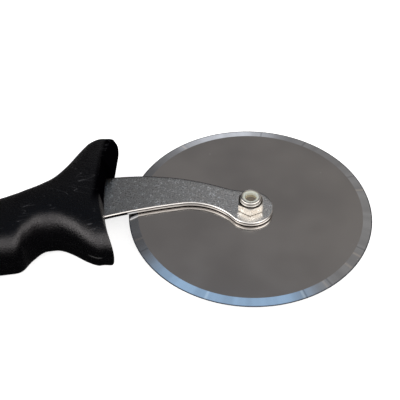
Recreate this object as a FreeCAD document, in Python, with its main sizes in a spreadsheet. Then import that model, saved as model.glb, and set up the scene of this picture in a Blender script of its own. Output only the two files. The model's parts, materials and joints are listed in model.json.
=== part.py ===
import FreeCAD, Part
import math
import os

import Sketcher
from FreeCAD import Placement, Rotation, Vector

# A hand-held cutting wheel: a round blade turns on a bolt at the end of a flat steel strap,
# and the strap's tang is moulded into a plastic handle with a flared finger guard.
#
# Everything is first built level, in millimetres: the wheel's centre is the origin, its axis is
# +Z, +X points away from the handle and the blade's own mid-plane is z = 0. At the end all
# sub-parts get one common Placement, which lays the tool down as it rests on a table.

# Driving dimensions, in millimetres unless the name says otherwise.
DIMENSIONS = {
    # blade
    "blade_radius": 50.8,
    "blade_thickness": 1.4,
    "bevel_width": 3.9,
    "edge_thickness": 0.1,
    # the stack of pieces on the pivot
    "bushing_outer": 4.5,
    "running_gap": 0.05,
    "washer_thickness": 0.4,
    "washer_bore": 3.1,
    "spacer_outer": 7.0,
    "head_washer_outer": 7.5,
    # strap
    "arm_thickness": 2.0,
    "arm_hole": 3.15,
    "arm_edge": 0.3,
    "eye_radius": 9.5,
    "eye_far_deg": 9.0,
    "eye_near_deg": 46.0,
    "strap_far_x": -10.0,
    "strap_far_y": 10.3,
    "strap_dip_x": -28.0,
    "strap_dip_y": 0.5,
    "strap_end_x": -61.0,
    "strap_end_far": 13.7,
    "strap_end_near": -9.8,
    "strap_far_curve": 90.7,
    "strap_near_curve": 221.0,
    "strap_dip_curve": 23.0,
    "eye_blend_curve": 25.0,
    "slot_mouth_x": -50.0,
    "tang_pin_radius": 2.5,
    # pivot bolt, with a low domed head and a hexagon socket
    "bolt_radius": 2.95,
    "bolt_point": 0.5,
    "bolt_recess": 1.45,
    "head_radius": 5.25,
    "head_height": 3.0,
    "head_rim": 0.7,
    "head_flat": 2.9,
    "head_dome": 3.2,
    "socket_width": 4.0,
    "socket_depth": 1.8,
    # self-locking nut
    "nut_width": 10.0,
    "nut_height": 6.0,
    "hex_height": 3.9,
    "nut_bore": 3.0,
    "nut_chamfer_radius": 4.7,
    "nut_chamfer_deg": 25.0,
    "nut_chamfer_reach": 2.0,
    "collar_radius": 4.4,
    "collar_root": 1.0,
    "collar_neck": 0.05,
    "collar_band": 0.75,
    "collar_bead": 0.4,
    "collar_groove": 0.4,
    "collar_roll": 0.8,
    "collar_rim": 3.8,
    "collar_lip": 3.4,
    "lip_thickness": 0.35,
    "insert_outer": 3.75,
    "insert_height": 1.5,
    # handle
    "guard_x": -61.3,
    "guard_y": 2.0,
    "grip_angle_deg": 13.0,
    "grip_squareness": 3.0,
    "scoop_radius": 114.3,
    "scoop_x": 51.9,
    "scoop_y": 14.2,
    "scoop_crown": 50.0,
    "scoop_edge": 0.7,
    "wing_x": -59.2,
    "wing_length": 30.0,
    "wing_crown": 20.0,
    "wing_edge": 0.4,
    "front_reach": 16.0,
    "butt_round": 9.5,
    "hang_hole_along": 107.0,
    "hang_hole_across": -24.2,
    "hang_hole_radius": 4.0,
    "hang_hole_edge": 1.0,
    "hang_hole_margin": 5.0,
}

# The handle's cross-sections, from just ahead of the guard to the butt: the distance along the
# handle, its far and near edges measured across it, and its half thickness.
GRIP_SECTIONS = [
    (-13.0, 25.0, -34.0, 12.0),
    (-8.0, 29.8, -34.1, 12.0),
    (-3.0, 32.4, -33.9, 12.0),
    (1.0, 31.9, -33.6, 12.0),
    (5.0, 29.0, -33.0, 12.0),
    (9.0, 23.8, -31.2, 12.0),
    (14.0, 16.7, -26.3, 12.0),
    (20.0, 9.8, -21.2, 12.0),
    (27.0, 5.6, -20.2, 12.0),
    (31.0, 4.3, -23.0, 12.0),
    (34.5, 3.2, -27.1, 12.0),
    (37.5, 2.4, -30.0, 12.0),
    (41.0, 1.3, -30.4, 12.0),
    (48.0, -0.7, -30.2, 12.0),
    (62.0, -4.6, -31.2, 12.0),
    (84.0, -10.0, -33.0, 11.5),
    (104.0, -12.6, -35.4, 11.5),
    (122.0, -14.0, -37.0, 11.0),
]

# The tang's corners (x, y) inside the handle, from the strap's far edge round to its near edge,
# and the two holes in it that the plastic flows through.
TANG_CORNERS = [(-69.0, 12.6), (-72.0, 5.2), (-102.0, -14.5),
                (-97.0, -24.5), (-70.0, -8.5), (-67.0, -11.8)]
PIN_CENTRES = [(-78.0, -4.5), (-91.0, -13.0)]

SECTION_POINTS = 24
SECTION_SPACING = 3.0
BUTT_TURNS = (22, 42, 59, 73, 83)
FULL_TURN = 360.0
HALF_TURN = 180.0

# How far an edge may be from a place and still count as being there, how tall a level edge may
# be, the furthest that a tool leans over on a table, and how finely its shape is sampled for it.
NEAR = 1.0
ON_FACE = 1e-3
RIM_RISE = 3.0
MOST_LEAN_DEG = 15.0
TABLE_SAMPLING = 0.02


# ---------------------------------------------------------------- document helpers

def make_sheet(doc):
    sheet = doc.addObject("Spreadsheet::Sheet", "dims")
    cells = dict(DIMENSIONS)
    for number, (along, far, near, depth) in enumerate(GRIP_SECTIONS):
        cells[f"grip_along_{number}"] = along
        cells[f"grip_far_{number}"] = far
        cells[f"grip_near_{number}"] = near
        cells[f"grip_depth_{number}"] = depth
    for name, places in (("tang", TANG_CORNERS), ("pin", PIN_CENTRES)):
        for number, (x, y) in enumerate(places):
            cells[f"{name}_x_{number}"] = x
            cells[f"{name}_y_{number}"] = y
    for row, (alias, size) in enumerate(cells.items(), start=1):
        sheet.set(f"A{row}", alias)
        sheet.set(f"B{row}", str(size))
        sheet.setAlias(f"B{row}", alias)
    doc.recompute()
    return sheet


def value(sketch_or_body, text):
    return float(sketch_or_body.evalExpression(text))


def new_body(doc, label):
    body = doc.addObject("PartDesign::Body", label)
    body.Label = label
    return body


def plane_sketch(body, name, role, lift="0"):
    """A sketch on one of the body's own origin planes, lifted along that plane's normal."""
    plane = next(item for item in body.Origin.OriginFeatures if item.Role == role)
    sketch = body.newObject("Sketcher::SketchObject", name)
    sketch.AttachmentSupport = [(plane, "")]
    sketch.MapMode = "FlatFace"
    sketch.setExpression("AttachmentOffset.Base.z", lift)
    return sketch


def bind(sketch, kind, refs, name, text):
    index = sketch.addConstraint(Sketcher.Constraint(kind, *refs, value(sketch, text)))
    sketch.renameConstraint(index, name)
    sketch.setExpression(f"Constraints.{name}", text)


def minor_arc(start, end, radius, side):
    """The shorter arc from start to end; side is 1 with its centre to the left of the way."""
    chord = end - start
    across = Vector(-chord.y, chord.x, 0).normalize()
    rise = math.sqrt(radius ** 2 - (chord.Length / 2) ** 2)
    centre = (start + end) * 0.5 + across * rise * side
    first, last = (start, end) if side > 0 else (end, start)
    angles = [math.atan2(point.y - centre.y, point.x - centre.x) for point in (first, last)]
    return Part.ArcOfCircle(Part.Circle(centre, Vector(0, 0, 1), radius), *angles)


def outline(sketch, corners):
    """A closed outline through corners (x, y, arc), all bound to the sheet. arc is None for a
    straight side to the next corner, or (radius, side) for a curved one."""
    points = [Vector(value(sketch, x), value(sketch, y), 0) for x, y, _ in corners]
    first_side = len(sketch.Geometry)
    starts = []
    for number, (_, _, arc) in enumerate(corners):
        start, end = points[number], points[(number + 1) % len(points)]
        if arc is None:
            side = Part.LineSegment(start, end)
        else:
            side = minor_arc(start, end, value(sketch, arc[0]), arc[1])
        sketch.addGeometry(side, False)
        starts.append(2 if arc is not None and arc[1] < 0 else 1)
    for number, (x, y, arc) in enumerate(corners):
        here = first_side + number
        last = first_side + (number - 1) % len(corners)
        last_end = 3 - starts[number - 1]
        sketch.addConstraint(
            Sketcher.Constraint("Coincident", last, last_end, here, starts[number]))
        bind(sketch, "DistanceX", (-1, 1, here, starts[number]), f"x{here}", x)
        bind(sketch, "DistanceY", (-1, 1, here, starts[number]), f"y{here}", y)
        if arc is not None:
            bind(sketch, "Radius", (here,), f"radius{here}", arc[0])
    return sketch


def circle(sketch, radius, x="0", y="0"):
    centre = Vector(value(sketch, x), value(sketch, y), 0)
    index = sketch.addGeometry(Part.Circle(centre, Vector(0, 0, 1), value(sketch, radius)), False)
    bind(sketch, "Radius", (index,), f"radius{index}", radius)
    bind(sketch, "DistanceX", (-1, 1, index, 3), f"x{index}", x)
    bind(sketch, "DistanceY", (-1, 1, index, 3), f"y{index}", y)
    return sketch


def hexagon(sketch, width):
    """A hexagon about the origin with a corner on the Y axis; width is across its flats."""
    corners = []
    for number in range(6):
        turn = f"{30 + 60 * number} deg"
        corner = f"{width} / 2 / cos(30 deg)"
        corners.append((f"{corner} * cos({turn})", f"{corner} * sin({turn})", None))
    return outline(sketch, corners)


def add_feature(body, kind, name, sketch=None, **settings):
    """A PartDesign feature. A setting that is text is an expression; others are set as they are."""
    feature = body.newObject(f"PartDesign::{kind}", name)
    if sketch is not None:
        feature.Profile = sketch
    for key, setting in settings.items():
        if isinstance(setting, str):
            feature.setExpression(key, setting)
        else:
            setattr(feature, key, setting)
    return feature


def revolve(body, kind, name, sketch, turn=FULL_TURN):
    return add_feature(body, kind, name, sketch, ReferenceAxis=(sketch, ["V_Axis"]), Angle=turn)


def cut(body, kind, name, sketch, **settings):
    """A feature that takes material away, checked by comparing volumes."""
    body.Document.recompute()
    before = body.Shape.Volume
    if kind == "Groove":
        feature = revolve(body, kind, name, sketch, **settings)
    else:
        feature = add_feature(body, kind, name, sketch, **settings)
    body.Document.recompute()
    if body.Shape.Volume >= before - 1e-6:
        raise RuntimeError(f"{body.Label}: {name} takes nothing away")
    return feature


def soften(body, kind, name, size_key, size, chosen):
    """A Fillet or Chamfer on the edges of the body that the chosen(edge) test picks."""
    body.Document.recompute()
    base = body.Tip
    picked = [f"Edge{number}" for number, edge in enumerate(base.Shape.Edges, start=1)
              if chosen(edge)]
    if not picked:
        raise RuntimeError(f"{body.Label}: {name} finds no edge")
    return add_feature(body, kind, name, Base=(base, picked), **{size_key: size})


def along_edge(edge):
    """Five points spread along an edge, its ends among them."""
    span = edge.LastParameter - edge.FirstParameter
    return [edge.valueAt(edge.FirstParameter + span * step / 4) for step in range(5)]


def flat_at(edge, height):
    box = edge.BoundBox
    return abs(box.ZMin - height) < 1e-4 and abs(box.ZMax - height) < 1e-4


# ---------------------------------------------------------------- the wheel's pivot stack

# Heights of the stack, as expressions.
HALF_BLADE = "dims.blade_thickness / 2"
BUSHING_HALF = "(dims.blade_thickness / 2 + dims.running_gap)"
ARM_BOTTOM = f"({BUSHING_HALF} + dims.washer_thickness)"
ARM_TOP = f"({ARM_BOTTOM} + dims.arm_thickness)"
NUT_TOP = f"({ARM_TOP} + dims.nut_height)"
HEX_TOP = f"({ARM_TOP} + dims.hex_height)"
HEAD_SEAT = f"(-{BUSHING_HALF} - dims.washer_thickness)"
HEAD_BOTTOM = f"({HEAD_SEAT} - dims.head_height)"
ARM_MIDDLE = f"({ARM_BOTTOM} + dims.arm_thickness / 2)"


def make_blade_wheel(doc):
    body = new_body(doc, "blade_wheel")
    bore = "dims.bushing_outer + dims.running_gap"
    face = "dims.blade_radius - dims.bevel_width"
    half_edge = "dims.edge_thickness / 2"
    corners = [
        (bore, f"-{HALF_BLADE}", None),
        (face, f"-{HALF_BLADE}", None),
        ("dims.blade_radius", f"-{half_edge}", None),
        ("dims.blade_radius", half_edge, None),
        (face, HALF_BLADE, None),
        (bore, HALF_BLADE, None),
    ]
    section = outline(plane_sketch(body, "blade_section", "XZ_Plane"), corners)
    revolve(body, "Revolution", "blade_disc", section)
    return body


def make_ring(doc, label, inner, outer, bottom, thickness):
    body = new_body(doc, label)
    corners = [
        (inner, bottom, None),
        (outer, bottom, None),
        (outer, f"{bottom} + {thickness}", None),
        (inner, f"{bottom} + {thickness}", None),
    ]
    section = outline(plane_sketch(body, f"{label}_section", "XZ_Plane"), corners)
    revolve(body, "Revolution", f"{label}_ring", section)
    return body


def make_pivot_bolt(doc):
    body = new_body(doc, "pivot_bolt")
    tip = f"({NUT_TOP} - dims.bolt_recess)"
    corners = [
        ("0", tip, None),
        ("dims.bolt_radius - dims.bolt_point", tip, None),
        ("dims.bolt_radius", f"{tip} - dims.bolt_point", None),
        ("dims.bolt_radius", HEAD_SEAT, None),
        ("dims.head_radius", HEAD_SEAT, None),
        ("dims.head_radius", f"{HEAD_SEAT} - dims.head_rim", ("dims.head_dome", -1)),
        ("dims.head_flat", HEAD_BOTTOM, None),
        ("0", HEAD_BOTTOM, None),
    ]
    section = outline(plane_sketch(body, "bolt_section", "XZ_Plane"), corners)
    revolve(body, "Revolution", "bolt_turned", section)
    socket = hexagon(plane_sketch(body, "socket_outline", "XY_Plane", HEAD_BOTTOM),
                     "dims.socket_width")
    cut(body, "Pocket", "hex_socket", socket, Length="dims.socket_depth", Reversed=True)
    return body


def make_lock_nut(doc):
    body = new_body(doc, "lock_nut")
    hexagon_base = hexagon(plane_sketch(body, "hex_outline", "XY_Plane", ARM_TOP),
                           "dims.nut_width")
    add_feature(body, "Pad", "hex_block", hexagon_base, Length="dims.hex_height")
    # A cone takes the hexagon's sharp corners off at each end.
    inner = "dims.nut_chamfer_radius"
    outer = f"{inner} + dims.nut_chamfer_reach"
    drop = "(dims.nut_chamfer_reach * tan(dims.nut_chamfer_deg * 1 deg))"
    for name, level, sign in (("top", HEX_TOP, "-"), ("bottom", ARM_TOP, "+")):
        corners = [
            (inner, level, None),
            (outer, level, None),
            (outer, f"{level} {sign} {drop}", None),
        ]
        wedge = outline(plane_sketch(body, f"{name}_corner_section", "XZ_Plane"), corners)
        cut(body, "Groove", f"{name}_corners", wedge)
    # The round collar above the hexagon has a bead, a groove and a rolled rim, and holds the
    # insert under its lip.
    insert_top = f"({NUT_TOP} - dims.lip_thickness)"
    insert_bottom = f"({insert_top} - dims.insert_height)"
    collar = [
        ("dims.nut_bore", f"{HEX_TOP} - dims.collar_root", None),
        ("dims.collar_radius", f"{HEX_TOP} - dims.collar_root", None),
        ("dims.collar_radius", f"{HEX_TOP} + dims.collar_neck", ("dims.collar_bead", 1)),
        ("dims.collar_radius", f"{HEX_TOP} + dims.collar_band", ("dims.collar_groove", -1)),
        ("dims.collar_radius", f"{NUT_TOP} - dims.collar_roll", ("dims.collar_roll", 1)),
        ("dims.collar_rim", NUT_TOP, None),
        ("dims.collar_lip", NUT_TOP, None),
        ("dims.collar_lip", insert_top, None),
        ("dims.insert_outer", insert_top, None),
        ("dims.insert_outer", insert_bottom, None),
        ("dims.nut_bore", insert_bottom, None),
    ]
    section = outline(plane_sketch(body, "collar_section", "XZ_Plane"), collar)
    revolve(body, "Revolution", "collar", section)
    bore = circle(plane_sketch(body, "bore_outline", "XY_Plane", HEX_TOP), "dims.nut_bore")
    cut(body, "Pocket", "bore", bore, Length="dims.hex_height")
    return body


def make_nylon_insert(doc):
    """A ring whose bore is still narrower than the thread above the bolt's chamfered point."""
    body = new_body(doc, "nylon_insert")
    tip = f"({NUT_TOP} - dims.bolt_recess)"
    top = f"({NUT_TOP} - dims.lip_thickness)"
    bottom = f"({top} - dims.insert_height)"
    bore = "dims.bolt_radius - dims.bolt_point"
    corners = [
        (f"{bore} + {tip} - {bottom}", bottom, None),
        ("dims.insert_outer", bottom, None),
        ("dims.insert_outer", top, None),
        (bore, top, None),
        (bore, tip, None),
    ]
    section = outline(plane_sketch(body, "insert_section", "XZ_Plane"), corners)
    revolve(body, "Revolution", "insert_ring", section)
    return body


# ---------------------------------------------------------------- the strap

STRAP_FAR_END = ("dims.strap_end_x", "dims.strap_end_far", None)
STRAP_NEAR_END = ("dims.strap_end_x", "dims.strap_end_near")
TANG = [(f"dims.tang_x_{number}", f"dims.tang_y_{number}", None)
        for number in range(len(TANG_CORNERS))]
TANG_PINS = [(f"dims.pin_x_{number}", f"dims.pin_y_{number}")
             for number in range(len(PIN_CENTRES))]


def arm_corners():
    """The strap seen from above: the eye, the curved far edge, the tang and the near edge."""
    eye = "dims.eye_radius"
    return [
        (eye, "0", ("dims.eye_radius", 1)),
        (f"-{eye} * sin(dims.eye_far_deg * 1 deg)", f"{eye} * cos(dims.eye_far_deg * 1 deg)",
         ("dims.eye_blend_curve", -1)),
        ("dims.strap_far_x", "dims.strap_far_y", ("dims.strap_far_curve", 1)),
        STRAP_FAR_END,
        *TANG,
        (*STRAP_NEAR_END, ("dims.strap_near_curve", -1)),
        ("dims.strap_dip_x", "dims.strap_dip_y", ("dims.strap_dip_curve", -1)),
        (f"-{eye} * cos(dims.eye_near_deg * 1 deg)", f"-{eye} * sin(dims.eye_near_deg * 1 deg)",
         ("dims.eye_radius", 1)),
    ]


def make_arm(doc):
    body = new_body(doc, "arm")
    shape = outline(plane_sketch(body, "strap_outline", "XY_Plane", ARM_BOTTOM), arm_corners())
    add_feature(body, "Pad", "strap", shape, Length="dims.arm_thickness")
    holes = circle(plane_sketch(body, "hole_outlines", "XY_Plane", ARM_TOP), "dims.arm_hole")
    for x, y in TANG_PINS:
        circle(holes, "dims.tang_pin_radius", x, y)
    cut(body, "Pocket", "holes", holes, Length="dims.arm_thickness")
    levels = [value(body, ARM_BOTTOM), value(body, ARM_TOP)]
    guard = value(body, "dims.guard_x")

    def outside_handle(edge):
        return (any(flat_at(edge, level) for level in levels)
                and edge.BoundBox.XMax > guard + NEAR
                and edge.BoundBox.XMin > guard - NEAR)

    soften(body, "Chamfer", "edge_break", "Size", "dims.arm_edge", outside_handle)
    return body


# ---------------------------------------------------------------- the handle

def grip_size(body, measure, along):
    """A measure of the handle (far, near or depth) at any distance along it: a smooth curve
    through the values in the sheet."""
    stations = [value(body, f"dims.grip_along_{k}") for k in range(len(GRIP_SECTIONS))]
    sizes = [value(body, f"dims.grip_{measure}_{k}") for k in range(len(GRIP_SECTIONS))]

    def slope(k):
        before, after = max(k - 1, 0), min(k + 1, len(stations) - 1)
        return (sizes[after] - sizes[before]) / (stations[after] - stations[before])

    k = max(i for i in range(len(stations) - 1) if stations[i] <= along + 1e-9)
    span = stations[k + 1] - stations[k]
    part = (along - stations[k]) / span
    return (sizes[k] * (1 + 2 * part) * (1 - part) ** 2
            + slope(k) * span * part * (1 - part) ** 2
            + sizes[k + 1] * part ** 2 * (3 - 2 * part)
            + slope(k + 1) * span * part ** 2 * (part - 1))


def grip_stations(body):
    """Where the cross-sections are, evenly spaced, and how far each is drawn in all round: not
    at all up to the butt, then in a quarter circle."""
    first = value(body, "dims.grip_along_0")
    end = value(body, f"dims.grip_along_{len(GRIP_SECTIONS) - 1}")
    radius = value(body, "dims.butt_round")
    span = end - radius - first
    count = round(span / SECTION_SPACING)
    stations = [(first + span * number / count, 0.0) for number in range(count + 1)]
    for degrees in BUTT_TURNS:
        turn = math.radians(degrees)
        stations.append((end - radius + radius * math.sin(turn), radius * (1 - math.cos(turn))))
    return stations


def grip_section(body, number, along, drawn_in):
    """One cross-section: a rounded, flat-topped oval, square to the handle's own direction."""
    sketch = plane_sketch(body, f"grip_section_{number}", "YZ_Plane",
                          f"dims.guard_x - {along} * cos(dims.grip_angle_deg * 1 deg)")
    sketch.setExpression("AttachmentOffset.Base.x",
                         f"dims.guard_y - {along} * sin(dims.grip_angle_deg * 1 deg)")
    sketch.setExpression("AttachmentOffset.Base.y", ARM_MIDDLE)
    offset = sketch.AttachmentOffset
    offset.Rotation = Rotation(Vector(0, 1, 0), value(body, "dims.grip_angle_deg"))
    sketch.AttachmentOffset = offset
    far = grip_size(body, "far", along)
    near = grip_size(body, "near", along)
    half_width = (far - near) / 2 - drawn_in
    half_depth = grip_size(body, "depth", along) - drawn_in
    power = 2 / value(body, "dims.grip_squareness")
    points = []
    for step in range(SECTION_POINTS):
        turn = 2 * math.pi * step / SECTION_POINTS
        across = math.copysign(abs(math.cos(turn)) ** power, math.cos(turn))
        up = math.copysign(abs(math.sin(turn)) ** power, math.sin(turn))
        points.append(Vector((far + near) / 2 + half_width * across, half_depth * up, 0))
    curve = Part.BSplineCurve()
    curve.interpolate(Points=points, PeriodicFlag=True)
    sketch.addGeometry(curve, False)
    return sketch


# Where the hang hole is: a place along and across the handle, as expressions.
GRIP_ANGLE = "(dims.grip_angle_deg * 1 deg)"
HANG_HOLE_X = (f"(dims.guard_x - dims.hang_hole_along * cos{GRIP_ANGLE}"
               f" - dims.hang_hole_across * sin{GRIP_ANGLE})")
HANG_HOLE_Y = (f"(dims.guard_y - dims.hang_hole_along * sin{GRIP_ANGLE}"
               f" + dims.hang_hole_across * cos{GRIP_ANGLE})")


def front_section(body, name, face, crown):
    """What is cut from the guard's front, in the upright plane through the scoop's centre where
    its far wing begins: everything ahead of a face crowned from top to bottom."""
    sketch = plane_sketch(body, name, "XZ_Plane", "-dims.scoop_y")
    sketch.setExpression("AttachmentOffset.Base.x", "dims.scoop_x")
    bottom = f"{ARM_MIDDLE} - dims.front_reach"
    top = f"{ARM_MIDDLE} + dims.front_reach"
    edge = f"{face} - ({crown} - sqrt({crown} ^ 2 - dims.front_reach ^ 2))"
    inner = f"{face} / 2"
    corners = [
        (edge, bottom, (crown, 1)),
        (edge, top, None),
        (inner, top, None),
        (inner, bottom, None),
    ]
    return outline(sketch, corners)


def shape_guard_front(body):
    """The guard's front is a shallow hollow across the strap and the near wing. The far wing
    stands a little ahead of it, beside the strap's far edge."""
    wing = front_section(body, "wing_section", "(dims.wing_x - dims.scoop_x)", "dims.wing_crown")
    cut(body, "Pocket", "wing_face", wing, Length="dims.wing_length")
    scoop = front_section(body, "scoop_section", "(-dims.scoop_radius)", "dims.scoop_crown")
    cut(body, "Groove", "guard_scoop", scoop, turn=HALF_TURN)
    side = value(body, "dims.scoop_y")
    slot_height = value(body, "dims.arm_thickness")
    wing_crown = value(body, "dims.wing_crown")

    def rim_of(is_front):
        """A test for the tall edges round a front face, but not those of the wall beside it."""
        faces = [face for face in body.Shape.Faces if is_front(face.Surface)]

        def on_rim(edge):
            points = along_edge(edge)
            tall = max(p.z for p in points) - min(p.z for p in points) > slot_height + NEAR
            beside_wall = all(abs(point.y - side) < ON_FACE for point in points)
            return tall and not beside_wall and any(
                face.distToShape(Part.Vertex(points[2]))[0] < ON_FACE for face in faces)

        return on_rim

    def is_wing_face(surface):
        return isinstance(surface, Part.Cylinder) and abs(surface.Radius - wing_crown) < ON_FACE

    def is_scoop_face(surface):
        return isinstance(surface, Part.Toroid)

    soften(body, "Fillet", "wing_edge", "Radius", "dims.wing_edge", rim_of(is_wing_face))
    soften(body, "Fillet", "scoop_edge", "Radius", "dims.scoop_edge", rim_of(is_scoop_face))


def make_handle(doc):
    body = new_body(doc, "handle")
    sections = [grip_section(body, number, along, drawn_in)
                for number, (along, drawn_in) in enumerate(grip_stations(body))]
    add_feature(body, "AdditiveLoft", "grip", sections[0], Sections=sections[1:], Ruled=False)

    tang = plane_sketch(body, "tang_outline", "XY_Plane", ARM_TOP)
    mouth = [("dims.slot_mouth_x", "dims.strap_end_near", None),
             ("dims.slot_mouth_x", "dims.strap_end_far", None)]
    outline(tang, [*mouth, STRAP_FAR_END, *TANG, (*STRAP_NEAR_END, None)])
    for x, y in TANG_PINS:
        circle(tang, "dims.tang_pin_radius", x, y)
    cut(body, "Pocket", "tang_slot", tang, Length="dims.arm_thickness")

    half_cut = "(dims.grip_depth_0 + dims.hang_hole_margin)"
    hole = circle(plane_sketch(body, "hang_hole_outline", "XY_Plane", f"{ARM_MIDDLE} + {half_cut}"),
                  "dims.hang_hole_radius", HANG_HOLE_X, HANG_HOLE_Y)
    cut(body, "Pocket", "hang_hole", hole, Length=f"2 * {half_cut}")
    shape_guard_front(body)

    x, y = value(body, HANG_HOLE_X), value(body, HANG_HOLE_Y)
    hole_radius = value(body, "dims.hang_hole_radius")

    def hole_rim(edge):
        points = along_edge(edge)
        level = max(point.z for point in points) - min(point.z for point in points) < RIM_RISE
        return level and all(abs(math.hypot(point.x - x, point.y - y) - hole_radius) < 0.01
                             for point in points)

    soften(body, "Fillet", "hang_hole_edge", "Radius", "dims.hang_hole_edge", hole_rim)
    return body


# ---------------------------------------------------------------- how the tool lies on a table

def lowest(points, tilt):
    return min(point.z * math.cos(tilt) - point.x * math.sin(tilt) for point in points)


def resting_placement(bodies):
    """The tool leans forward on its guard until the blade's far side touches the table. The
    origin is then the middle of its box, at table height."""
    mesh = {body.Label: body.Shape.tessellate(TABLE_SAMPLING)[0] for body in bodies}
    low, high = 0.0, math.radians(MOST_LEAN_DEG)
    for _ in range(40):
        tilt = (low + high) / 2
        if lowest(mesh["handle"], tilt) < lowest(mesh["blade_wheel"], tilt):
            low = tilt
        else:
            high = tilt
    turn = Rotation(Vector(0, 1, 0), math.degrees(tilt))
    points = [turn.multVec(point) for cloud in mesh.values() for point in cloud]
    middle_x = (min(p.x for p in points) + max(p.x for p in points)) / 2
    middle_y = (min(p.y for p in points) + max(p.y for p in points)) / 2
    floor = min(p.z for p in points)
    return Placement(Vector(-middle_x, -middle_y, -floor), turn)


def check(doc, bodies):
    for item in doc.Objects:
        if "Invalid" in item.State or "Error" in item.State:
            raise RuntimeError(f"{item.Label} failed: {item.State}")
    for body in bodies:
        shape = body.Shape
        if shape.isNull() or not shape.isValid() or len(shape.Solids) != 1:
            raise RuntimeError(f"{body.Label} is not one valid solid")


def main():
    doc = FreeCAD.newDocument("cutting_wheel")
    make_sheet(doc)
    bodies = [
        make_blade_wheel(doc),
        make_arm(doc),
        make_handle(doc),
        make_pivot_bolt(doc),
        make_lock_nut(doc),
        make_nylon_insert(doc),
        make_ring(doc, "wheel_bushing", "dims.washer_bore", "dims.bushing_outer",
                  f"-{BUSHING_HALF}", f"2 * {BUSHING_HALF}"),
        make_ring(doc, "spacer_washer", "dims.washer_bore", "dims.spacer_outer",
                  BUSHING_HALF, "dims.washer_thickness"),
        make_ring(doc, "head_washer", "dims.washer_bore", "dims.head_washer_outer",
                  HEAD_SEAT, "dims.washer_thickness"),
    ]
    doc.recompute()
    check(doc, bodies)
    rest = resting_placement(bodies)
    for body in bodies:
        body.Placement = rest
    doc.recompute()
    check(doc, bodies)
    os.makedirs("parts", exist_ok=True)
    for body in bodies:
        body.Shape.exportStep(f"parts/{body.Label}.step")
        print(body.Label, round(body.Shape.Volume, 1), "mm3")
    print("rest", rest)
    handle = next(body for body in bodies if body.Label == "handle")
    x, y = value(handle, HANG_HOLE_X), value(handle, HANG_HOLE_Y)
    long = 2 * (grip_size(handle, "depth", value(handle, "dims.hang_hole_along"))
                - value(handle, "dims.hang_hole_edge"))
    print("hang hole at", x, y, value(handle, ARM_MIDDLE), "long", round(long, 2))


main()
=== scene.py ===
import json
import math

import bpy
from mathutils import Matrix, Vector

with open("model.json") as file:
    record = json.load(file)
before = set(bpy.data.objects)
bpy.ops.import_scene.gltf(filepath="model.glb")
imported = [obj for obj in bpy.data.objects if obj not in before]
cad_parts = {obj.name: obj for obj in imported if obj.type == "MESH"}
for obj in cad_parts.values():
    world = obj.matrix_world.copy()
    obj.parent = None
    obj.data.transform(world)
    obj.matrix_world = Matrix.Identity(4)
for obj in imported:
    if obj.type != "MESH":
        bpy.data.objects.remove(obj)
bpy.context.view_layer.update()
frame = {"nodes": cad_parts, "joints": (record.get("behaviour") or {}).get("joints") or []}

# Looks for a hand-held cutting wheel. The object's sizes and the camera's place are millimetres in
# the level frame: the origin is the wheel's centre, +Z its axis towards the nut and the handle lies
# towards -X. LEVEL turns them into the frame's own metres, where the tool rests tilted on the table.

MM = 0.001
JOINT = frame["joints"][0]
CENTRE = Vector(JOINT["pos_m"])
TILT = math.atan2(JOINT["axis"][0], JOINT["axis"][2])
LEVEL = Matrix.Translation(CENTRE) @ Matrix.Rotation(TILT, 4, "Y")

BLADE_RADIUS = 50.8
BEVEL_WIDTH = 3.9
HONED_WIDTH = 0.55
TORN_LINE_LEVEL = 2.50
BOLT_END_RADIUS = 2.5
COLLAR_RIM_RADIUS = 3.85
# The height of each line of painted shade on the nut, and how far it reaches up and down: in the groove
# under the rolled rim, in the one under the bead, and round the foot.
NUT_GROOVE_SHADE = ((8.17, 0.16), (7.02, 0.16), (3.25, 0.14))
GUARD_BACK = -66.0
HANDLE_MIDDLE = 2.15
SCRATCH_BEND = 0.35


def place(x, y, z):
    return LEVEL @ (Vector((x, y, z)) * MM)


# ---------------------------------------------------------------- camera

CAMERA_AT = (0.0, -294.76, 304.83)
CAMERA_AIM = (-21.446, 5.721, 0.0)
CAMERA_ROLL_DEG = -0.477
CAMERA_LENS = 90.93
SENSOR_WIDTH = 36.0


def make_camera():
    data = bpy.data.cameras.new("camera")
    data.sensor_width = SENSOR_WIDTH
    data.lens = CAMERA_LENS
    data.clip_start = 0.01
    data.clip_end = 20.0
    camera = bpy.data.objects.new("camera", data)
    bpy.context.scene.collection.objects.link(camera)
    forward = Vector(CAMERA_AIM) - Vector(CAMERA_AT)
    forward.normalize()
    right = forward.cross(Vector((0, 0, 1))).normalized()
    up = right.cross(forward)
    roll = math.radians(CAMERA_ROLL_DEG)
    turned_right = right * math.cos(roll) + up * math.sin(roll)
    turned_up = turned_right.cross(forward)
    axes = Matrix((turned_right, turned_up, -forward)).transposed().to_4x4()
    turn = Matrix.Rotation(TILT, 4, "Y")
    camera.matrix_world = Matrix.Translation(place(*CAMERA_AT)) @ turn @ axes
    bpy.context.scene.camera = camera


# ---------------------------------------------------------------- node helpers

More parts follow.
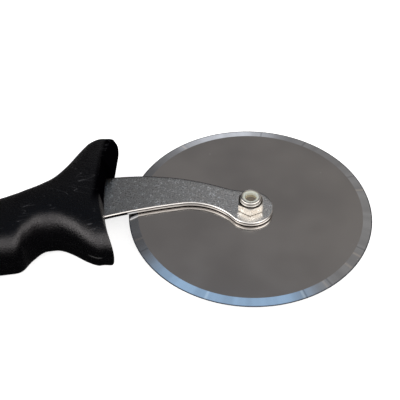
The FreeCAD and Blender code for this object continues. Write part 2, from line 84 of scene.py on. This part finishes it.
class Graph:
    """Short ways to build a node tree. A value is a number, a colour or another node's output."""

    def __init__(self, tree):
        self.tree = tree

    def node(self, kind, **settings):
        node = self.tree.nodes.new(kind)
        for key, setting in settings.items():
            setattr(node, key, setting)
        return node

    def give(self, socket, value):
        if isinstance(value, bpy.types.NodeSocket):
            self.tree.links.new(value, socket)
        else:
            socket.default_value = value

    def math(self, operation, *values):
        node = self.node("ShaderNodeMath", operation=operation)
        for socket, value in zip(node.inputs, values):
            self.give(socket, value)
        return node.outputs[0]

    def product(self, first, *others):
        for other in others:
            first = self.math("MULTIPLY", first, other)
        return first

    def larger(self, first, second):
        return self.math("MAXIMUM", first, second)

    def away_from(self, value, level):
        return self.math("ABSOLUTE", self.math("SUBTRACT", value, level))

    def from_axis(self, x, y):
        """How far a place is from the wheel's axis."""
        return self.vector("LENGTH", self.join(x, y, 0.0))

    def vector(self, operation, *values):
        node = self.node("ShaderNodeVectorMath", operation=operation)
        for socket, value in zip(node.inputs, values):
            self.give(socket, value)
        return node.outputs["Value" if operation in ("DOT_PRODUCT", "LENGTH") else "Vector"]

    def scaled(self, vector, factors):
        return self.vector("MULTIPLY", vector, factors)

    def spread(self, value, low, high, to_low=0.0, to_high=1.0, smooth=True):
        """value from low..high taken to to_low..to_high, and held there beyond. low may be the
        larger one."""
        node = self.node("ShaderNodeMapRange",
                         interpolation_type="SMOOTHSTEP" if smooth else "LINEAR")
        for socket, setting in zip(node.inputs, (value, low, high, to_low, to_high)):
            self.give(socket, setting)
        return node.outputs[0]

    def within(self, value, starts, full, fades, ends):
        """1 from full to fades, and 0 outside starts and ends."""
        return self.product(self.spread(value, starts, full), self.spread(value, ends, fades))

    def mix(self, share, first, second):
        """Between two colours."""
        node = self.node("ShaderNodeMix", data_type="RGBA")
        self.give(node.inputs[0], share)
        self.give(node.inputs[6], first)
        self.give(node.inputs[7], second)
        return node.outputs[2]

    def blend(self, share, first, second):
        """Between two plain numbers."""
        node = self.node("ShaderNodeMix", data_type="FLOAT")
        self.give(node.inputs[0], share)
        self.give(node.inputs[2], first)
        self.give(node.inputs[3], second)
        return node.outputs[0]

    def noise(self, vector, scale, detail=2.0, roughness=0.5, distortion=0.0):
        node = self.node("ShaderNodeTexNoise")
        for name, value in (("Vector", vector), ("Scale", scale), ("Detail", detail),
                            ("Roughness", roughness), ("Distortion", distortion)):
            self.give(node.inputs[name], value)
        return node.outputs["Fac"]

    def cells(self, vector, scale, output="Distance"):
        node = self.node("ShaderNodeTexVoronoi")
        self.give(node.inputs["Vector"], vector)
        self.give(node.inputs["Scale"], scale)
        return node.outputs[output]

    def parts(self, vector):
        node = self.node("ShaderNodeSeparateXYZ")
        self.give(node.inputs[0], vector)
        return node.outputs

    def join(self, x, y, z):
        node = self.node("ShaderNodeCombineXYZ")
        for socket, value in zip(node.inputs, (x, y, z)):
            self.give(socket, value)
        return node.outputs[0]

    def bump(self, height, distance, strength, below=None):
        node = self.node("ShaderNodeBump")
        self.give(node.inputs["Height"], height)
        self.give(node.inputs["Distance"], distance)
        self.give(node.inputs["Strength"], strength)
        if below is not None:
            self.give(node.inputs["Normal"], below)
        return node.outputs[0]


class Finish(Graph):
    """One material, with its coordinates in level millimetres."""

    def __init__(self, name):
        self.material = bpy.data.materials.new(name)
        self.material.use_nodes = True
        super().__init__(self.material.node_tree)
        self.surface = self.tree.nodes["Principled BSDF"]
        source = self.node("ShaderNodeTexCoord")
        level = self.node("ShaderNodeMapping", vector_type="POINT")
        turn = Matrix.Rotation(-TILT, 3, "Y")
        level.inputs["Scale"].default_value = (1 / MM,) * 3
        level.inputs["Rotation"].default_value = (0, -TILT, 0)
        level.inputs["Location"].default_value = -(turn @ CENTRE) / MM
        self.tree.links.new(source.outputs["Object"], level.inputs["Vector"])
        self.at = level.outputs[0]
        self.facing = source.outputs["Normal"]

    def set(self, **values):
        for key, value in values.items():
            self.give(self.surface.inputs[key.replace("_", " ")], value)

    def wear(self, node_name):
        """Puts this material on a CAD node."""
        frame["nodes"][node_name].material_slots[0].material = self.material


# ---------------------------------------------------------------- materials

def upwards(finish):
    """How squarely a place faces along the wheel's axis, from 0 on a side to 1 on a flat."""
    axis = Vector(JOINT["axis"])
    return finish.math("ABSOLUTE", finish.vector("DOT_PRODUCT", finish.facing, axis))


def specks(finish, scale, share, size):
    """Small round dots in a random share of the cells of a grid."""
    near = finish.cells(finish.at, scale)
    chance = finish.parts(finish.cells(finish.at, scale, output="Color"))[0]
    dot = finish.spread(near, size, size * 0.4)
    return finish.product(dot, finish.spread(chance, 1 - share, 1 - share + 0.02))


def scratches(finish, turn_deg, spacing, length, fine):
    """Thin, slightly bent scratches all running one way: the crests of a stretched noise, kept
    only here and there."""
    turn = finish.node("ShaderNodeVectorRotate", rotation_type="Z_AXIS")
    finish.give(turn.inputs["Vector"], finish.at)
    finish.give(turn.inputs["Angle"], math.radians(turn_deg))
    stretched = finish.scaled(turn.outputs[0], (1 / length, 1 / spacing, 0.3))
    crest = finish.noise(stretched, 1.0, detail=0.0, distortion=SCRATCH_BEND)
    line = finish.spread(finish.away_from(crest, 0.5), fine, 0.0)
    some = finish.noise(finish.at, 1.1 / length, 2.0)
    return finish.product(line, finish.spread(some, 0.56, 0.64))


def blade_steel():
    """Polished stainless disc; its bevel is ground across, from the face out to the edge."""
    steel = Finish("blade_steel")
    x, y, _ = steel.parts(steel.at)
    radius = steel.from_axis(x, y)
    around = steel.math("ARCTAN2", y, x)
    bevel_starts = BLADE_RADIUS - BEVEL_WIDTH
    bevel = steel.spread(radius, bevel_starts - 0.05, bevel_starts + 0.05)
    honed_starts = BLADE_RADIUS - HONED_WIDTH
    honed = steel.spread(radius, honed_starts, honed_starts + 0.25)

    def streaks(per_radian, detail=0.0):
        turned = steel.join(steel.product(around, per_radian), 0.0, per_radian)
        return steel.noise(turned, 1.0, detail)

    grind = streaks(160.0, 4.0)
    bands = streaks(5.0, 2.0)
    cloud = steel.noise(steel.at, 0.032, 2.0)
    fine = steel.noise(steel.at, 1.4, 4.0, 0.65)
    pits = specks(steel, 0.16, 0.3, 0.05)
    flat_rough = steel.math("ADD", steel.spread(cloud, 0.3, 0.7, 0.09, 0.13),
                            steel.spread(fine, 0.35, 0.7, -0.01, 0.02))
    bevel_rough = steel.spread(grind, 0.3, 0.7, 0.10, 0.14)
    rough = steel.blend(bevel, flat_rough, bevel_rough)
    rough = steel.blend(honed, rough, 0.3)
    flat_colour = steel.mix(steel.spread(cloud, 0.32, 0.68), (0.485, 0.472, 0.465, 1),
                            (0.575, 0.556, 0.54, 1))
    # The bevel's paler, bluish bands and its darker ones are painted reflections.
    bevel_colour = steel.mix(steel.spread(bands, 0.36, 0.64), (0.56, 0.58, 0.61, 1),
                             (0.70, 0.73, 0.77, 1))
    # A few dull streaks and a few bright ones cross the bevel: painted reflections, dull and bright. Its
    # very edge is painted dark, a painted shade.
    bevel_colour = steel.mix(steel.spread(streaks(17.0), 0.34, 0.20, 0.0, 0.6), bevel_colour,
                             (0.22, 0.23, 0.25, 1))
    bevel_colour = steel.mix(steel.spread(streaks(14.0), 0.64, 0.82, 0.0, 0.8), bevel_colour,
                             (1.0, 0.94, 0.88, 1))
    bevel_colour = steel.mix(steel.product(honed, 0.85), bevel_colour, (0.06, 0.06, 0.07, 1))
    colour = steel.mix(bevel, flat_colour, bevel_colour)
    colour = steel.mix(pits, colour, (0.9, 0.9, 0.9, 1))
    waves = steel.bump(steel.noise(steel.at, 0.045, 1.0), 0.25 * MM, 0.05)
    relief = steel.bump(steel.product(grind, bevel), 0.005 * MM, 0.3, waves)
    steel.set(Metallic=1.0, Base_Color=colour, Roughness=rough, Normal=relief)
    steel.wear("blade_wheel")


def arm_steel():
    """Tumbled stainless strap: a matt, pitted face and bright blanked edges."""
    steel = Finish("arm_steel")
    flat = steel.spread(upwards(steel), 0.9, 0.99)
    grain = steel.noise(steel.at, 1.6, 5.0, 0.7)
    mottle = steel.noise(steel.at, 0.35, 3.0, 0.6)
    sparkle = steel.larger(specks(steel, 1.1, 0.22, 0.34), specks(steel, 0.6, 0.10, 0.30))
    nicks = steel.larger(scratches(steel, 35, 0.8, 2.5, 0.05), scratches(steel, -50, 0.9, 3.0, 0.05))
    bright = steel.larger(sparkle, nicks)
    face = steel.mix(steel.spread(grain, 0.35, 0.65), (0.250, 0.235, 0.221, 1),
                     (0.60, 0.567, 0.530, 1))
    face = steel.mix(steel.spread(mottle, 0.35, 0.7, 0.0, 0.6), face, (0.395, 0.377, 0.356, 1))
    face = steel.mix(steel.product(bright, 0.9), face, (0.95, 0.94, 0.92, 1))
    # The face carries a painted highlight that grows towards the eye, and painted shade where it enters
    # the guard.
    x, _, height = steel.parts(steel.at)
    painted_highlight_and_shade = steel.spread(x, -52.0, 2.0, 0.80, 1.60, smooth=False)
    painted_highlight_and_shade = steel.product(painted_highlight_and_shade, steel.spread(x, -61.9, -60.9, 0.5, 1.0))
    face = steel.scaled(face, steel.join(painted_highlight_and_shade, painted_highlight_and_shade, painted_highlight_and_shade))
    # The far rim is painted dark where it rounds off towards the back: a painted shade.
    rounded = steel.node("ShaderNodeBevel", samples=8)
    rounded.inputs["Radius"].default_value = 1.6 * MM
    far_rim_shade = steel.spread(steel.parts(rounded.outputs[0])[1], 0.04, 0.2)
    face = steel.mix(far_rim_shade, face, (0.05, 0.045, 0.04, 1))
    # The blanked edge: a rubbed corner, a dark torn line and a duller band at the bottom.
    wobble = steel.noise(steel.scaled(steel.at, (0.25, 0.25, 0.0)), 1.0, 2.0)
    level = steel.math("ADD", height, steel.spread(wobble, 0.3, 0.7, -0.08, 0.08))
    torn = steel.spread(steel.away_from(level, TORN_LINE_LEVEL), 0.38, 0.24)
    edge = steel.mix(torn, (0.95, 0.92, 0.89, 1), (0.12, 0.115, 0.11, 1))
    edge = steel.mix(steel.spread(height, 1.75, 1.3), edge, (0.66, 0.62, 0.60, 1))
    colour = steel.mix(flat, edge, face)
    face_rough = steel.spread(grain, 0.3, 0.7, 0.26, 0.42)
    rough = steel.blend(flat, 0.16, face_rough)
    dents = steel.math("ADD", grain, steel.product(sparkle, 0.6))
    relief = steel.bump(dents, 0.09 * MM, steel.blend(flat, 0.08, 1.0))
    steel.set(Metallic=1.0, Base_Color=colour, Roughness=rough, Normal=relief)
    steel.wear("arm")


def bright_plate():
    """Zinc plated steel of the nut and bolt, tarnished brown on the bolt's end."""
    plate = Finish("bright_plate")
    grain = plate.noise(plate.at, 2.5, 4.0, 0.6)
    stain = plate.noise(plate.at, 0.5, 2.0)
    colour = plate.mix(plate.spread(stain, 0.4, 0.7), (0.96, 0.94, 0.90, 1), (0.84, 0.80, 0.74, 1))
    x, y, height = plate.parts(plate.at)
    radius = plate.from_axis(x, y)
    on_bolt = plate.spread(radius, BOLT_END_RADIUS + 0.1, BOLT_END_RADIUS - 0.1)
    tarnish = plate.product(on_bolt, plate.spread(height, 6.5, 7.0))
    brown = plate.mix(grain, (0.50, 0.41, 0.30, 1), (0.74, 0.67, 0.55, 1))
    colour = plate.mix(tarnish, colour, brown)
    outside = plate.spread(radius, COLLAR_RIM_RADIUS - 0.05, COLLAR_RIM_RADIUS + 0.05)
    # Painted shade darkens the nut in these grooves and round its foot.
    for level, reach in NUT_GROOVE_SHADE:
        near = plate.spread(plate.away_from(height, level), reach, reach * 0.4)
        groove_shade = plate.product(near, outside)
        colour = plate.mix(groove_shade, colour, (0.10, 0.085, 0.07, 1))
    plate.set(Metallic=1.0, Base_Color=colour, Roughness=plate.spread(grain, 0.3, 0.7, 0.05, 0.14),
              Normal=plate.bump(grain, 0.03 * MM, 0.3))
    plate.wear("lock_nut")
    plate.wear("pivot_bolt")


def plain_washer():
    """Plain steel of the two washers, a little dull."""
    washer = Finish("washer_steel")
    grain = washer.noise(washer.at, 2.0, 4.0, 0.6)
    colour = washer.mix(grain, (0.5, 0.5, 0.5, 1), (0.68, 0.67, 0.66, 1))
    washer.set(Metallic=1.0, Base_Color=colour,
               Roughness=washer.spread(grain, 0.3, 0.7, 0.22, 0.36),
               Normal=washer.bump(grain, 0.03 * MM, 0.4))
    washer.wear("spacer_washer")
    washer.wear("head_washer")


def sintered_bronze():
    """Porous bronze of the sleeve that the wheel turns on."""
    bronze = Finish("bushing_bronze")
    pores = bronze.cells(bronze.at, 5.0)
    grain = bronze.noise(bronze.at, 4.0, 4.0, 0.7)
    colour = bronze.mix(grain, (0.42, 0.27, 0.14, 1), (0.62, 0.43, 0.24, 1))
    bronze.set(Metallic=1.0, Base_Color=colour, Roughness=bronze.spread(grain, 0.3, 0.7, 0.35, 0.5),
               Normal=bronze.bump(pores, 0.05 * MM, 0.4))
    bronze.wear("wheel_bushing")


def natural_nylon():
    """Undyed, slightly milky nylon of the nut's insert."""
    nylon = Finish("nylon")
    cloud = nylon.noise(nylon.at, 0.9, 3.0)
    nylon.set(Base_Color=nylon.mix(cloud, (0.58, 0.60, 0.53, 1), (0.72, 0.75, 0.68, 1)),
              Roughness=nylon.spread(cloud, 0.3, 0.7, 0.32, 0.45),
              Subsurface_Weight=0.3, Subsurface_Scale=0.8 * MM,
              Subsurface_Radius=(1.0, 0.9, 0.7),
              Normal=nylon.bump(nylon.noise(nylon.at, 3.0, 3.0), 0.03 * MM, 0.4))
    nylon.wear("nylon_insert")


def handle_plastic():
    """Black moulded plastic with a fine spark-eroded grain, and light scuffs from use."""
    plastic = Finish("handle_plastic")
    grain = plastic.noise(plastic.at, 1.3, 3.0, 0.65)
    cloud = plastic.noise(plastic.at, 0.05, 3.0)
    scuffs = plastic.larger(scratches(plastic, 10, 3.0, 14.0, 0.012),
                            scratches(plastic, -24, 2.4, 9.0, 0.012))
    dust = specks(plastic, 0.30, 0.20, 0.09)
    colour = plastic.mix(cloud, (0.0006, 0.0006, 0.0009, 1), (0.0011, 0.0010, 0.0016, 1))
    level = plastic.spread(upwards(plastic), 0.5, 0.8)
    marks = plastic.larger(plastic.product(scuffs, 0.35), dust)
    colour = plastic.mix(plastic.product(marks, level), colour, (0.13, 0.13, 0.14, 1))
    rough = plastic.math("ADD", plastic.spread(cloud, 0.3, 0.7, 0.26, 0.30),
                         plastic.spread(grain, 0.3, 0.7, -0.05, 0.07))
    relief = plastic.bump(grain, 0.20 * MM, 1.0)
    # The flats shine less than the flanks, the guard's far wing hardly and its front not at all.
    x, y, height = plastic.parts(plastic.at)
    flank = plastic.spread(x, GUARD_BACK - 20.0, GUARD_BACK, 0.85, 1.0)
    shine = plastic.blend(plastic.spread(upwards(plastic), 0.86, 0.985), flank, 0.165)
    front = plastic.product(plastic.spread(x, GUARD_BACK, GUARD_BACK + 2.5),
                            plastic.spread(y, -14.0, -6.0))
    far_wing = plastic.product(plastic.spread(y, 16.0, 30.0),
                               plastic.spread(x, GUARD_BACK - 14.0, GUARD_BACK))
    shine = plastic.blend(far_wing, shine, 0.05)
    shine = plastic.blend(front, shine, 0.0)
    # The mould's two halves meet in a fine line at mid-height. Along the near wing's tip the line
    # carries a painted highlight.
    from_middle = plastic.away_from(height, HANDLE_MIDDLE)
    parting = plastic.spread(from_middle, 0.22, 0.08)
    tip = plastic.product(plastic.within(x, -64.5, -62.5, -59.5, -57.5),
                          plastic.spread(y, -22.0, -26.0))
    tip_highlight = plastic.product(tip, plastic.spread(from_middle, 0.5, 0.1))
    colour = plastic.mix(tip_highlight, colour, (0.045, 0.045, 0.045, 1))
    relief = plastic.bump(parting, 0.06 * MM, 0.6, relief)
    plastic.set(Base_Color=colour, Roughness=rough, Specular_IOR_Level=shine,
                Specular_Tint=(0.97, 0.94, 0.98, 1), Normal=relief)
    plastic.wear("handle")


# ---------------------------------------------------------------- light and floor

# These are metres in the frame's own axes, and the softbox points at the frame's origin.
FLOOR_SIZE = 6.0
FLOOR_GLOW = 0.75
KEY_AT = (0.0, -0.75, 0.80)
KEY_SIZE = (0.9, 0.35)
KEY_POWER = 2.5


def make_floor():
    """Plain white paper. It glows a little, which keeps it pale, and the metal doesn't mirror it."""
    mesh = bpy.data.meshes.new("floor")
    half = FLOOR_SIZE / 2
    corners = [(-half, -half, 0), (half, -half, 0), (half, half, 0), (-half, half, 0)]
    mesh.from_pydata(corners, [], [(0, 1, 2, 3)])
    floor = bpy.data.objects.new("floor", mesh)
    bpy.context.scene.collection.objects.link(floor)
    material = bpy.data.materials.new("floor_paper")
    material.use_nodes = True
    surface = material.node_tree.nodes["Principled BSDF"]
    surface.inputs["Base Color"].default_value = (0.9, 0.9, 0.9, 1)
    surface.inputs["Roughness"].default_value = 0.9
    surface.inputs["Emission Color"].default_value = (1, 1, 1, 1)
    surface.inputs["Emission Strength"].default_value = FLOOR_GLOW
    mesh.materials.append(material)
    floor.visible_glossy = False


def make_surroundings():
    """The room that the metal mirrors. It is dim, darkest to the left, with a pale strip at the back
    and a bluish skylight above that. Bright windows stand on both sides and behind the camera."""
    world = bpy.data.worlds.new("surroundings")
    world.use_nodes = True
    bpy.context.scene.world = world
    graph = Graph(world.node_tree)
    background = world.node_tree.nodes["Background"]
    towards = graph.node("ShaderNodeTexCoord").outputs["Generated"]
    x, y, z = graph.parts(towards)
    aside = graph.math("ABSOLUTE", x)
    spread = graph.spread
    product = graph.product

    cloud = graph.noise(towards, 2.6, 3.0)
    room = graph.mix(spread(x, -0.34, -0.17), (0.06, 0.06, 0.06, 1), (0.245, 0.235, 0.232, 1))
    room = graph.mix(product(spread(x, 0.02, 0.35), 0.8), room, (0.34, 0.32, 0.30, 1))
    room = graph.mix(product(spread(cloud, 0.40, 0.62), 0.28), room, (0.15, 0.14, 0.14, 1))
    strip = product(spread(z, 0.50, 0.41), spread(y, 0.3, 0.7), graph.within(x, -0.24, -0.10, 0.0, 0.14))
    room = graph.mix(strip, room, (0.85, 0.85, 0.88, 1))
    skylight = product(graph.within(z, 0.77, 0.87, 0.95, 0.99), spread(y, 0.12, 0.28),
                       graph.within(x, -0.25, -0.19, 0.20, 0.33))
    room = graph.mix(skylight, room, (0.43, 0.61, 0.82, 1))

    # The windows are brighter towards the sides, and most of all high up there.
    glass = graph.mix(spread(aside, 0.12, 0.45), (0.95, 0.93, 0.91, 1), (1.3, 1.26, 1.22, 1))
    high = product(spread(aside, 0.40, 0.62), spread(z, 0.50, 0.62))
    glass = graph.mix(high, glass, (2.2, 2.14, 2.06, 1))
    sides = product(spread(aside, 0.55, 0.75), spread(y, 0.5, 0.2), spread(z, 0.32, 0.45))
    front = product(spread(y, 0.0, -0.25), spread(z, 0.30, 0.45))
    room = graph.mix(graph.larger(sides, front), room, glass)

    # Below it is dark, apart from a dim stretch at the back that only the underside mirrors.
    dim_stretch = product(spread(y, 0.40, 0.65), spread(z, -0.15, -0.40))
    below = graph.mix(dim_stretch, (0.008, 0.008, 0.008, 1), (0.24, 0.235, 0.23, 1))
    room = graph.mix(spread(z, 0.02, -0.04), room, below)

    # Behind the object the picture itself is plain white.
    seen = graph.node("ShaderNodeLightPath").outputs["Is Camera Ray"]
    graph.give(background.inputs["Color"], graph.mix(seen, room, (1, 1, 1, 1)))


def make_key_softbox():
    """Soft light from the camera's side. The metal doesn't mirror it, because at some angles the
    whole blade would turn white."""
    data = bpy.data.lights.new("key_softbox", "AREA")
    data.shape = "RECTANGLE"
    data.size, data.size_y = KEY_SIZE
    data.energy = KEY_POWER
    light = bpy.data.objects.new("key_softbox", data)
    bpy.context.scene.collection.objects.link(light)
    light.location = KEY_AT
    light.rotation_euler = (-Vector(KEY_AT)).to_track_quat("-Z", "Y").to_euler()
    light.visible_glossy = False


# ---------------------------------------------------------------- the scene

make_camera()
make_surroundings()
make_key_softbox()
make_floor()
blade_steel()
arm_steel()
bright_plate()
plain_washer()
sintered_bronze()
natural_nylon()
handle_plastic()
bpy.context.scene.view_settings.view_transform = "Standard"
